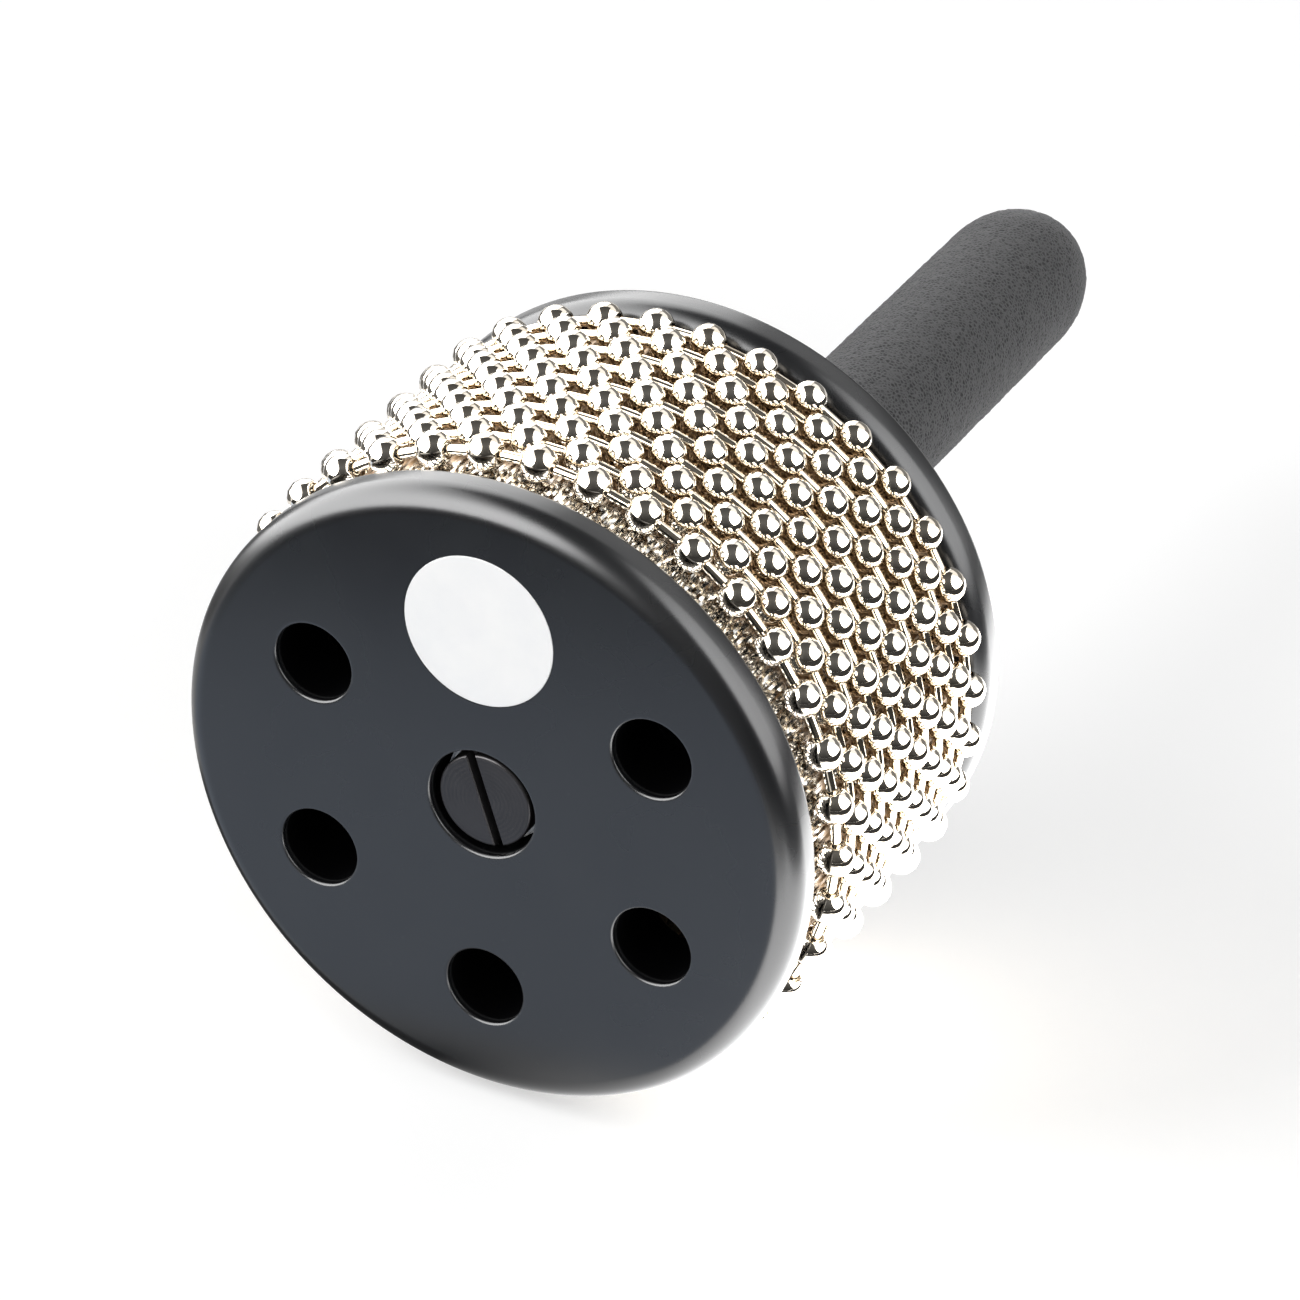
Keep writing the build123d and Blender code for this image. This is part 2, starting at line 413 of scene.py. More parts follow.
def makeNickel(name, tones):
    # polished nickel; every bead and every link has its own slight tint and polish
    material, tree, shader, place = newMaterial(name, Metallic=1.0)
    own = addNode(tree, "ShaderNodeAttribute", attribute_name="ownTone").outputs["Fac"]
    marks = useGroup(tree, handlingMarks, Vector=place, Smear=170.0, Speck=900.0)
    tint = mixColours(tree, own, *tones)
    tarnished = maths(tree, "MULTIPLY", marks["Specks"], nickel["tarnishShare"])
    wire(tree, mixColours(tree, tarnished, tint, nickel["tarnish"]), shader.inputs["Base Color"])
    ownPolish = maths(tree, "MULTIPLY", own, nickel["ownRoughness"])
    smeared = maths(tree, "MULTIPLY", marks["Smears"], nickel["smearRoughness"])
    polish = maths(tree, "ADD", ownPolish, smeared)
    wire(tree, maths(tree, "ADD", polish, nickel["roughness"]), shader.inputs["Roughness"])
    return material


blackening = {
    "tones": ((0.014, 0.013, 0.014, 1), (0.024, 0.022, 0.023, 1)),
    "roughness": (0.3, 0.42),
    "metallic": 0.55,
    "ringScale": 420.0,
    "ringWobble": 1.2,
    "ringDetail": 2.0,
}


def makeBoltBlack():
    # blackened steel with faint rings from the lathe
    material, tree, shader, place = newMaterial("boltBlack", Metallic=blackening["metallic"])
    centred = stretch(tree, place, location=(0, 0, -axisZ))
    rings = addNode(tree, "ShaderNodeTexWave", wave_type="RINGS", rings_direction="X")
    wire(tree, centred, rings.inputs["Vector"])
    rings.inputs["Scale"].default_value = blackening["ringScale"]
    rings.inputs["Distortion"].default_value = blackening["ringWobble"]
    rings.inputs["Detail"].default_value = blackening["ringDetail"]
    marks = useGroup(tree, handlingMarks, Vector=place, Smear=120.0, Speck=700.0)
    wire(tree, mixColours(tree, marks["Smears"], *blackening["tones"]), shader.inputs["Base Color"])
    wire(tree, spread(tree, rings.outputs["Fac"], *blackening["roughness"]), shader.inputs["Roughness"])
    wire(tree, bumpFrom(tree, rings.outputs["Fac"], strength=0.06, distance=0.00003), shader.inputs["Normal"])
    return material


foam = {
    "tones": ((0.019, 0.019, 0.02, 1), (0.1, 0.1, 0.102, 1)),
    "bloom": (0.55, 0.55, 0.56, 1),
    "cellScale": 1300.0,
    "wallShare": 0.45,
}


def makeFoamCharcoal():
    # closed-cell foam rubber: dark cells with paler walls, and a soft bloom at its edges
    material, tree, shader, place = newMaterial(
        "foamCharcoal", Roughness=0.95, Specular_IOR_Level=0.04, Sheen_Weight=0.35, Sheen_Roughness=0.5)
    shader.inputs["Sheen Tint"].default_value = foam["bloom"]
    cells = addNode(tree, "ShaderNodeTexVoronoi", feature="DISTANCE_TO_EDGE")
    wire(tree, place, cells.inputs["Vector"])
    cells.inputs["Scale"].default_value = foam["cellScale"]
    walls = spread(tree, cells.outputs["Distance"], 1.0, 0.0, fromLow=0.02, fromHigh=0.3)
    grain = useGroup(tree, fineGrain, Vector=place, Coarse=420.0, Fine=1900.0)
    relief = maths(tree, "ADD", maths(tree, "MULTIPLY", walls, foam["wallShare"]), grain["Height"])
    speckle = spread(tree, relief, 0.0, 1.0, fromLow=0.4, fromHigh=0.95)
    wire(tree, mixColours(tree, speckle, *foam["tones"]), shader.inputs["Base Color"])
    wire(tree, bumpFrom(tree, speckle, strength=0.5, distance=0.0002), shader.inputs["Normal"])
    return material


zinc = {
    "tones": ((0.58, 0.59, 0.6, 1), (0.46, 0.46, 0.45, 1)),
    "roughness": (0.28, 0.45),
    "smearScale": 90.0,
    "speckScale": 600.0,
}
brass = {
    "tones": ((0.78, 0.56, 0.25, 1), (0.62, 0.42, 0.18, 1)),
    "roughness": (0.22, 0.4),
    "smearScale": 110.0,
    "speckScale": 650.0,
}


def makeHiddenMetal(name, metal):
    material, tree, shader, place = newMaterial(name, Metallic=1.0)
    marks = useGroup(tree, handlingMarks, Vector=place, Smear=metal["smearScale"], Speck=metal["speckScale"])
    wire(tree, mixColours(tree, marks["Smears"], *metal["tones"]), shader.inputs["Base Color"])
    wire(tree, spread(tree, marks["Smears"], *metal["roughness"]), shader.inputs["Roughness"])
    return material


beech = {"tones": ((0.42, 0.26, 0.13, 1), (0.62, 0.43, 0.25, 1)), "grainStretch": 0.06}


def makeCoreBeech():
    material, tree, shader, place = newMaterial("coreBeech", Roughness=0.65)
    along = stretch(tree, place, scale=(beech["grainStretch"], 1, 1))
    grain = useGroup(tree, fineGrain, Vector=along, Coarse=260.0, Fine=1400.0)
    wire(tree, mixColours(tree, grain["Tone"], *beech["tones"]), shader.inputs["Base Color"])
    wire(tree, bumpFrom(tree, grain["Height"], strength=0.3, distance=0.0001), shader.inputs["Normal"])
    return material


frontLacquer = makePlateLacquer("frontLacquer", True)
rearLacquer = makePlateLacquer("rearLacquer", False)
labelWhite = makeLabelWhite()
sleeveSteel = makeSleeveSteel()
beadNickel = makeNickel("beadNickel", nickel["beadTones"])
linkNickel = makeNickel("linkNickel", nickel["linkTones"])
boltBlack = makeBoltBlack()
foamCharcoal = makeFoamCharcoal()
hiddenFinishes = {
    "bolt_washer": makeHiddenMetal("washerZinc", zinc),
    "handle_washer": makeHiddenMetal("washerZinc", zinc),
    "handle_core": makeCoreBeech(),
    "threaded_insert": makeHiddenMetal("insertBrass", brass),
}
for node, finish in hiddenFinishes.items():
    frame["nodes"][node].material_slots[0].material = finish
print("finishes made:", len(bpy.data.materials))


# End plates

plate = {
    "thickness": 0.008,
    "frontEdge": 0.0042,
    "backEdge": 0.0012,
    "stepRadius": 0.0518,
    "boltHole": 0.00425,
    "recessRadius": 0.0098,
    "recessDepth": 0.0071,
    "holeRadius": 0.0071,
    "holeCircle": 0.036,
    "holeAngles": (150, 210, 270, 330, 30),
    "edgeRound": 0.0005,
    "flatBand": 0.0003,
    "labelGap": 0.0001,
    "segments": 168,
    "holeSegments": 56,
    "wideSegments": 72,
    "frontSteps": 14,
    "backSteps": 6,
    "holeSteps": 5,
}
stepEnd = frontHigh.x - frontX
labelRadius = (labelHigh.y - labelLow.y) / 2
labelDepth = labelHigh.x - labelLow.x
labelCentre = Vector((frontX, 0, (labelLow.z + labelHigh.z) / 2))


def edgeProfile():
    # from the front face over the well-rounded front edge and the side to the back face
    corner = plateRadius - plate["frontEdge"]
    back = plateRadius - plate["backEdge"]
    points = [(0, corner - plate["flatBand"])]
    points += arcSteps((plate["frontEdge"], corner), plate["frontEdge"], 180, 90, plate["frontSteps"])
    backCentre = (plate["thickness"] - plate["backEdge"], back)
    points += arcSteps(backCentre, plate["backEdge"], 90, 0, plate["backSteps"])
    points.append((plate["thickness"], back - plate["flatBand"]))
    return points


def holeProfile(radius, depth):
    # a bore with a small rounded edge at the flat face
    edge = plate["edgeRound"]
    points = [(0, radius + edge + plate["flatBand"])]
    points += arcSteps((edge, radius + edge), edge, 180, 270, plate["holeSteps"])
    points.append((depth, radius))
    return points


def buildFrontPlate():
    bm = bmesh.new()
    profile = edgeProfile()
    profile.append((plate["thickness"], plate["stepRadius"]))
    profile.append((stepEnd, plate["stepRadius"]))
    rim = addLathe(bm, profile, drumAxis, plate["segments"])
    centre = holeProfile(plate["recessRadius"], plate["recessDepth"])
    centre.append((plate["recessDepth"], plate["boltHole"]))
    centre.append((stepEnd, plate["boltHole"]))
    recess = addLathe(bm, centre, drumAxis, plate["wideSegments"])
    faceRings = [rim[0], recess[0]]
    innerRings = [rim[-1], recess[-1]]
    soundHole = holeProfile(plate["holeRadius"], stepEnd)
    for degrees in plate["holeAngles"]:
        angle = math.radians(degrees)
        offset = Vector((0, plate["holeCircle"] * math.cos(angle), plate["holeCircle"] * math.sin(angle)))
        hole = addLathe(bm, soundHole, drumAxis + offset, plate["holeSegments"])
        faceRings.append(hole[0])
        innerRings.append(hole[-1])
    pocket = labelRadius + plate["labelGap"]
    seat = [(0, pocket + plate["flatBand"]), (0, pocket), (labelDepth, pocket), (labelDepth, 0)]
    faceRings.append(addLathe(bm, seat, labelCentre, plate["wideSegments"])[0])
    fillBetween(bm, faceRings)
    fillBetween(bm, innerRings)
    return finishMesh(bm, "frontPlate")


def buildRearPlate():
    bm = bmesh.new()
    step = plate["thickness"] - stepEnd
    profile = [(step, plate["boltHole"]), (step, plate["stepRadius"]), (0, plate["stepRadius"])]
    profile += edgeProfile()
    profile.append((plate["thickness"], plate["boltHole"]))
    start = Vector((rearHigh.x - plate["thickness"], 0, axisZ))
    addLathe(bm, profile, start, plate["segments"], closed=True)
    return finishMesh(bm, "rearPlate")


frontPlate = placePiece("frontPlate", buildFrontPlate(), frontLacquer, "drum", "plate", "front_plate")
rearPlate = placePiece("rearPlate", buildRearPlate(), rearLacquer, "drum", "plate", "rear_plate")
print("end plates made:", len(frontPlate.data.polygons), "and", len(rearPlate.data.polygons), "faces")


# Label

label = {"edgeRound": 0.0001, "edgeBand": 0.0004, "edgeSteps": 3, "segments": 96}


def buildLabel():
    bm = bmesh.new()
    edge = label["edgeRound"]
    profile = [(0, 0), (0, labelRadius - label["edgeBand"])]
    profile += arcSteps((edge, labelRadius - edge), edge, 180, 90, label["edgeSteps"])
    profile += [(labelDepth, labelRadius), (labelDepth, 0)]
    addLathe(bm, profile, labelCentre, label["segments"])
    return finishMesh(bm, "label")


labelDisc = placePiece("label", buildLabel(), labelWhite, "drum", "label", "label_disc")
print("label made:", len(labelDisc.data.polygons), "faces")


# Clamp bolt

bolt = {
    "headRadius": 0.0085,
    "headHeight": 0.0045,
    "shankRadius": 0.004,
    "edgeRound": 0.0005,
    "slotWidth": 0.0016,
    "slotDepth": 0.0022,
    "slotEdge": 0.0002,
    "slotAngle": 17.5,
    "slotReach": 0.01105,
    "edgeSteps": 6,
    "sharpAngle": 25,
    "segments": 96,
}


def buildSlotCutter():
    # the slot, opening out a little at the face so that its edges aren't knife sharp
    half = bolt["slotWidth"] / 2
    edge = bolt["slotEdge"]
    outline = [
        (-2 * edge, half + 3 * edge),
        (edge, half),
        (bolt["slotDepth"], half),
        (bolt["slotDepth"], -half),
        (edge, -half),
        (-2 * edge, -half - 3 * edge),
    ]
    bm = bmesh.new()
    ends = []
    for end in (-bolt["slotReach"], bolt["slotReach"]):
        ends.append([bm.verts.new((distance, across, end)) for distance, across in outline])
    for i in range(len(outline)):
        j = (i + 1) % len(outline)
        bm.faces.new((ends[0][i], ends[0][j], ends[1][j], ends[1][i]))
    bm.faces.new(ends[0])
    bm.faces.new(ends[1])
    turn = Matrix.Rotation(-math.radians(bolt["slotAngle"]), 4, "X")
    bm.transform(Matrix.Translation((boltLow.x, 0, axisZ)) @ turn)
    return finishMesh(bm, "slotCutter", 0)


def buildBolt():
    bm = bmesh.new()
    edge = bolt["edgeRound"]
    length = boltHigh.x - boltLow.x
    profile = [(0, 0)]
    profile += arcSteps((edge, bolt["headRadius"] - edge), edge, 180, 90, bolt["edgeSteps"])
    profile += [
        (bolt["headHeight"], bolt["headRadius"]),
        (bolt["headHeight"], bolt["shankRadius"]),
        (length - edge, bolt["shankRadius"]),
        (length, bolt["shankRadius"] - edge),
        (length, 0),
    ]
    addLathe(bm, profile, Vector((boltLow.x, 0, axisZ)), bolt["segments"])
    whole = addObject("boltBlank", finishMesh(bm, "boltBlank", 0))
    cutter = addObject("slotCutter", buildSlotCutter())
    cut = whole.modifiers.new("slot", "BOOLEAN")
    cut.operation = "DIFFERENCE"
    cut.solver = "EXACT"
    cut.object = cutter
    mesh = bakeObject(whole, "clampBolt")
    bpy.data.objects.remove(cutter)
    mesh.shade_smooth()
    mesh.set_sharp_from_angle(angle=math.radians(bolt["sharpAngle"]))
    return mesh


clampBolt = placePiece("clampBolt", buildBolt(), boltBlack, "drum", "bolt", "clamp_bolt")
print("clamp bolt made:", len(clampBolt.data.polygons), "faces")


# Foam grip

grip = {
    "radius": 0.014,
    "bore": 0.0103,
    "dome": 0.019,
    "endWall": 0.0193,
    "mouthRound": 0.0015,
    "mouthSteps": 8,
    "skin": 0.00014,
    "cellSize": 0.0011,
    "fineScale": 2.3,
    "fineShare": 0.5,
    "plainBand": 0.001,
    "step": 0.00055,
    "segments": 150,
    "firmness": 1.0,
}


def buildGrip():
    # a tube with a domed end, its skin lightly pitted by the cells of the foam
    length = gripHigh.x - gripLow.x
    domeStart = length - grip["dome"]
    outer = grip["radius"] - grip["skin"] / 2
    mouth = grip["mouthRound"]
    boreEnd = length - grip["endWall"]
    profile = [(boreEnd, 0), (boreEnd, grip["bore"]), (0, grip["bore"])]
    profile += arcSteps((mouth, outer - mouth), mouth, 180, 90, grip["mouthSteps"])
    rows = int((domeStart - mouth) / grip["step"])
    profile += [(mouth + (domeStart - mouth) * i / rows, outer) for i in range(1, rows)]
    domeSteps = int(math.pi / 2 * grip["dome"] / grip["step"])
    for i in range(domeSteps):
        angle = math.pi / 2 * i / domeSteps
        profile.append((domeStart + grip["dome"] * math.sin(angle), outer * math.cos(angle)))
    profile.append((length, 0))
    bm = bmesh.new()
    addLathe(bm, profile, Vector((gripLow.x, 0, axisZ)), grip["segments"])
    bmesh.ops.recalc_face_normals(bm, faces=bm.faces)
    bm.normal_update()
    # the bore keeps a plain wall
    for vert in bm.verts:
        depth = vert.co.x - gripLow.x
        radius = math.hypot(vert.co.y, vert.co.z - axisZ)
        if radius > grip["bore"] + grip["plainBand"] or depth > boreEnd + grip["plainBand"]:
            fine = noise.noise(vert.co * grip["fineScale"] / grip["cellSize"])
            swell = noise.noise(vert.co / grip["cellSize"]) + grip["fineShare"] * fine
            vert.co += vert.normal * swell * grip["skin"]
    return finishMesh(bm, "foamGrip", 0)


foamGrip = placePiece("foamGrip", buildGrip(), foamCharcoal, "drum", "foam", "foam_grip")
print("foam grip made:", len(foamGrip.data.polygons), "faces")


# Node trees for what repeats

def newTree(name, inputs):
    tree = bpy.data.node_groups.new(name, "GeometryNodeTree")
    tree.is_modifier = True
    tree.interface.new_socket("Geometry", in_out="OUTPUT", socket_type="NodeSocketGeometry")
    for label, kind in inputs:
        tree.interface.new_socket(label, in_out="INPUT", socket_type="NodeSocket" + kind)
    return tree, addNode(tree, "NodeGroupInput").outputs


def addCopies(tree, shape, points, rotation):
    source = addNode(tree, "GeometryNodeObjectInfo")
    wire(tree, shape, source.inputs["Object"])
    copies = addNode(tree, "GeometryNodeInstanceOnPoints")
    wire(tree, points, copies.inputs["Points"])
    wire(tree, source.outputs["Geometry"], copies.inputs["Instance"])
    wire(tree, rotation, copies.inputs["Rotation"])
    return copies.outputs[0]


def endTree(tree, geometry, material):
    realize = addNode(tree, "GeometryNodeRealizeInstances")
    wire(tree, geometry, realize.inputs["Geometry"])
    finish = addNode(tree, "GeometryNodeSetMaterial")
    wire(tree, realize.outputs[0], finish.inputs["Geometry"])
    wire(tree, material, finish.inputs["Material"])
    wire(tree, finish.outputs[0], addNode(tree, "NodeGroupOutput").inputs[0])


def bakeTree(name, tree, values):
    # runs the tree on an empty mesh
    holder = addObject(name, bpy.data.meshes.new(name))
    modifier = holder.modifiers.new(tree.name, "NODES")
    modifier.node_group = tree
    for item in tree.interface.items_tree:
        if item.item_type == "SOCKET" and item.in_out == "INPUT":
            modifier[item.identifier] = values[item.name]
    return bakeObject(holder, name)


# Fluted sleeve

sleeve = {
    "fluteCount": 144,
    "fluteRadius": 0.0014,
    "fluteDepth": 0.0003,
    "wall": 0.0006,
    "roundSteps": 3,
    "sharpAngle": 10,
    "mergeDistance": 0.00001,
}
sleeveRadius = (sleeveHigh.y - sleeveLow.y) / 2


def buildFlute():
    # one flute and the valley beside it, as a length of sheet with its inner side
    step = 2 * math.pi / sleeve["fluteCount"]
    centre = sleeveRadius - sleeve["fluteRadius"]
    valley = sleeveRadius - sleeve["fluteDepth"]
    reach = math.acos((valley - centre) / sleeve["fluteRadius"])
    section = [(valley, -step / 2)]
    for i in range(sleeve["roundSteps"] + 1):
        angle = reach * (2 * i / sleeve["roundSteps"] - 1)
        high = centre + sleeve["fluteRadius"] * math.cos(angle)
        across = sleeve["fluteRadius"] * math.sin(angle)
        section.append((math.hypot(high, across), math.atan2(across, high)))
    section.append((valley, step / 2))
    length = sleeveHigh.x - sleeveLow.x
    wall = sleeve["wall"]
    bm = bmesh.new()
    inner = bm.verts.layers.float.new("inner")
    rows = []
    for distance, sink in ((0, 0), (length, 0), (length, wall), (0, wall)):
        row = []
        for radius, angle in section:
            sunk = radius - sink
            vert = bm.verts.new((distance, sunk * math.cos(angle), sunk * math.sin(angle)))
            vert[inner] = 1.0 if sink else 0.0
            row.append(vert)
        rows.append(row)
    for near, far in zip(rows, rows[1:] + rows[:1]):
        for i in range(len(section) - 1):
            bm.faces.new((near[i], near[i + 1], far[i + 1], far[i]))
    return plainMesh(bm, "flute")


def buildSleeveTree():
    tree, given = newTree("flutedSleeve", [
        ("Flute", "Object"),
        ("Flute Count", "Int"),
        ("Start", "Vector"),
        ("Merge Distance", "Float"),
        ("Finish", "Material"),
    ])
    points = addNode(tree, "GeometryNodePoints")
    wire(tree, given["Flute Count"], points.inputs["Count"])
    wire(tree, given["Start"], points.inputs["Position"])
    index = addNode(tree, "GeometryNodeInputIndex").outputs[0]
    turn = maths(tree, "MULTIPLY", index, maths(tree, "DIVIDE", 2 * math.pi, given["Flute Count"]))
    copies = addCopies(tree, given["Flute"], points.outputs[0], combine(tree, turn, 0.0, 0.0))
    joined = addNode(tree, "GeometryNodeRealizeInstances")
    wire(tree, copies, joined.inputs["Geometry"])
    merged = addNode(tree, "GeometryNodeMergeByDistance")
    wire(tree, joined.outputs[0], merged.inputs["Geometry"])
    wire(tree, given["Merge Distance"], merged.inputs["Distance"])
    endTree(tree, merged.outputs[0], given["Finish"])
    return tree


def buildSleeve():
    # the flute that the tree repeats leaves the scene when the tree has run
    flute = addObject("flute", buildFlute())
    mesh = bakeTree("flutedSleeve", buildSleeveTree(), {
        "Flute": flute,
        "Flute Count": sleeve["fluteCount"],
        "Start": (sleeveLow.x, 0, axisZ),
        "Merge Distance": sleeve["mergeDistance"],
        "Finish": sleeveSteel,
    })
    bpy.data.objects.remove(flute)
    bm = bmesh.new()
    bm.from_mesh(mesh)
    return finishMesh(bm, "flutedSleeve", sleeve["sharpAngle"])


flutedSleeve = placePiece("flutedSleeve", buildSleeve(), sleeveSteel, "drum", "sleeve", "fluted_sleeve")
print("sleeve made:", len(flutedSleeve.data.polygons), "faces")


# Ball chain

chain = {
    "beadRadius": 0.003175,
    "holeRadius": 0.00105,
    "lipDepth": 0.0004,
    "beadSides": 16,
    "beadBands": 8,
    "rodRadius": 0.0009,
    "rodInside": 0.0012,
    "rodSides": 12,
    "rodSharpAngle": 60,
    "pitch": 0.009814,
    "beadsPerLoop": 36,
    "wander": 0.00018,
    "wanderScale": 1.3,
    "wanderStep": 3.7,
    "play": 0.00006,
    "seed": 17,
}
loops = sorted(name for name in frame["bodies"] if name.startswith("loop_"))
stepAngle = 2 * math.pi / chain["beadsPerLoop"]
loopRadius = chain["pitch"] / (2 * math.sin(stepAngle / 2))


def buildBead():
    # Z along the chain; each half leans in by half a step, so that its hole looks at the next bead
    start = math.degrees(math.asin(chain["holeRadius"] / chain["beadRadius"]))
    profile = arcSteps((0, 0), chain["beadRadius"], start, 180 - start, chain["beadBands"])
    mouth = profile[0][0] - chain["lipDepth"]
    profile = [(mouth, chain["holeRadius"])] + profile + [(-mouth, chain["holeRadius"])]
    bm = bmesh.new()
    addLathe(bm, profile, Vector((0, 0, 0)), chain["beadSides"])
    bm.transform(Matrix.Rotation(-math.pi / 2, 4, "Y"))
    bmesh.ops.recalc_face_normals(bm, faces=bm.faces)
    for vert in bm.verts:
        lean = stepAngle / 2 * vert.co.z / chain["beadRadius"]
        vert.co = Matrix.Rotation(lean, 3, "X") @ vert.co
    mesh = plainMesh(bm, "bead")
    mesh.shade_smooth()
    return mesh


def buildLink():
    # Z along the rod, which ends just inside the two beads that it joins
    half = chain["pitch"] / 2 - chain["beadRadius"] + chain["rodInside"]
    bm = bmesh.new()
    profile = [(-half, 0), (-half, chain["rodRadius"]), (half, chain["rodRadius"]), (half, 0)]
    addLathe(bm, profile, Vector((0, 0, 0)), chain["rodSides"])
    bm.transform(Matrix.Rotation(-math.pi / 2, 4, "Y"))
    return finishMesh(bm, "link", chain["rodSharpAngle"])


def buildChainTree():
    tree, given = newTree("ballChain", [
        ("Shape", "Object"),
        ("Links", "Bool"),
        ("Count", "Int"),
        ("Loop Radius", "Float"),
        ("Row Place", "Float"),
        ("Axis Height", "Float"),
        ("Start Angle", "Float"),
        ("Wander", "Float"),
        ("Wander Scale", "Float"),
        ("Play", "Float"),
        ("Seed", "Int"),
        ("Finish", "Material"),
    ])
    index = addNode(tree, "GeometryNodeInputIndex").outputs[0]
    turn = maths(tree, "MULTIPLY", index, maths(tree, "DIVIDE", 2 * math.pi, given["Count"]))
    angle = maths(tree, "ADD", turn, given["Start Angle"])
    cosine = maths(tree, "COSINE", angle)
    sine = maths(tree, "SINE", angle)
    # the loop sways slowly along the drum, and each bead sits a little off its place
    sway = addNode(tree, "ShaderNodeTexNoise", noise_dimensions="4D")
    wire(tree, combine(tree, cosine, sine, 0.0), sway.inputs["Vector"])
    wire(tree, maths(tree, "MULTIPLY", given["Seed"], chain["wanderStep"]), sway.inputs["W"])
    wire(tree, given["Wander Scale"], sway.inputs["Scale"])
    swing = spread(tree, sway.outputs[0], -1.0, 1.0, fromLow=0.25, fromHigh=0.75)
    swayed = maths(tree, "MULTIPLY", swing, given["Wander"])
    loose = addNode(tree, "FunctionNodeRandomValue", data_type="FLOAT_VECTOR")
    loose.inputs["Min"].default_value = (-1, -1, -1)
    loose.inputs["Max"].default_value = (1, 1, 1)
    wire(tree, given["Seed"], loose.inputs["Seed"])
    shift = addNode(tree, "ShaderNodeVectorMath", operation="SCALE")
    wire(tree, loose.outputs[0], shift.inputs[0])
    wire(tree, given["Play"], shift.inputs["Scale"])
    place = combine(
        tree,
        maths(tree, "ADD", given["Row Place"], swayed),
        maths(tree, "MULTIPLY", given["Loop Radius"], cosine),
        maths(tree, "ADD", given["Axis Height"], maths(tree, "MULTIPLY", given["Loop Radius"], sine)),
    )
    loosePlace = maths(tree, "ADD", place, shift.outputs[0], "ShaderNodeVectorMath")
    beads = addNode(tree, "GeometryNodePoints")
    wire(tree, given["Count"], beads.inputs["Count"])
    wire(tree, loosePlace, beads.inputs["Position"])
    # a link lies halfway to the next bead and points at it
    ends = []
    for ahead in (0, 1):
        sample = addNode(tree, "GeometryNodeSampleIndex", data_type="FLOAT_VECTOR")
        wire(tree, beads.outputs[0], sample.inputs["Geometry"])
        wire(tree, addNode(tree, "GeometryNodeInputPosition").outputs[0], sample.inputs["Value"])
        neighbour = maths(tree, "FLOORED_MODULO", maths(tree, "ADD", index, float(ahead)), given["Count"])
        wire(tree, neighbour, sample.inputs["Index"])
        ends.append(sample.outputs[0])
    middle = addNode(tree, "ShaderNodeMix", data_type="VECTOR")
    middle.inputs[0].default_value = 0.5
    wire(tree, ends[0], middle.inputs[4])
    wire(tree, ends[1], middle.inputs[5])
    along = maths(tree, "SUBTRACT", ends[1], ends[0], "ShaderNodeVectorMath")
    aim = addNode(tree, "FunctionNodeAlignRotationToVector", axis="Z")
    wire(tree, along, aim.inputs["Vector"])
    linkPlace = addNode(tree, "GeometryNodeSetPosition")
    wire(tree, beads.outputs[0], linkPlace.inputs["Geometry"])
    wire(tree, middle.outputs[1], linkPlace.inputs["Position"])
    beadCopies = addCopies(tree, given["Shape"], beads.outputs[0], combine(tree, angle, 0.0, 0.0))
    linkCopies = addCopies(tree, given["Shape"], linkPlace.outputs[0], aim.outputs[0])
    choice = addNode(tree, "GeometryNodeSwitch", input_type="GEOMETRY")
    wire(tree, given["Links"], choice.inputs["Switch"])
    wire(tree, beadCopies, choice.inputs["False"])
    wire(tree, linkCopies, choice.inputs["True"])
    tone = addNode(tree, "FunctionNodeRandomValue", data_type="FLOAT")
    wire(tree, given["Seed"], tone.inputs["Seed"])
    kept = addNode(tree, "GeometryNodeStoreNamedAttribute", data_type="FLOAT", domain="INSTANCE")
    wire(tree, choice.outputs[0], kept.inputs["Geometry"])
    kept.inputs["Name"].default_value = "ownTone"
    wire(tree, tone.outputs[1], kept.inputs["Value"])
    endTree(tree, kept.outputs[0], given["Finish"])
    return tree


def buildChain():
    tree = buildChainTree()
    shapes = {"beads": addObject("bead", buildBead()), "links": addObject("link", buildLink())}
    finishes = {"beads": beadNickel, "links": linkNickel}
    slots = {"beads": "bead", "links": "link"}
    for row, loop in enumerate(loops):
        number = loop[-2:]
        low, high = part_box("chain_beads_" + number)
        lean = stepAngle / 4 if row % 2 == 0 else -stepAngle / 4
        for kind in ("beads", "links"):
            name = "chain" + kind.capitalize() + number
            mesh = bakeTree(name, tree, {
                "Shape": shapes[kind],
                "Links": kind == "links",
                "Count": chain["beadsPerLoop"],
                "Loop Radius": loopRadius,
                "Row Place": (low.x + high.x) / 2,
                "Axis Height": axisZ,
                "Start Angle": lean,
                "Wander": chain["wander"],
                "Wander Scale": chain["wanderScale"],
                "Play": chain["play"],
                "Seed": chain["seed"] + row,
                "Finish": finishes[kind],
            })
            placePiece(name, mesh, finishes[kind], loop, slots[kind], "chain_" + kind + "_" + number)
    for seed in shapes.values():
        bpy.data.objects.remove(seed)


buildChain()
print("ball chain made:", len(loops), "loops of", chain["beadsPerLoop"], "beads")


# Camera at the photograph's viewing angle

camera = {
    "place": (-0.81819, -0.40744, 0.59095),
    "right": (0.4693, -0.8831, 0.0),
    "up": (0.4625, 0.2458, 0.8519),
    "lens": 166.15,
    "sensor": 36.0,
}


def buildCamera():
    data = bpy.data.cameras.new("camera")
    data.lens = camera["lens"]
    data.sensor_width = camera["sensor"]
    data.clip_start = 0.01
    data.clip_end = 50
    right = Vector(camera["right"]).normalized()
    up = Vector(camera["up"]).normalized()
    back = right.cross(up)
    turned = Matrix((right, up, back)).transposed().to_4x4()
    eye = addObject("camera", data)
    eye.matrix_world = Matrix.Translation(camera["place"]) @ turned
    scene.camera = eye


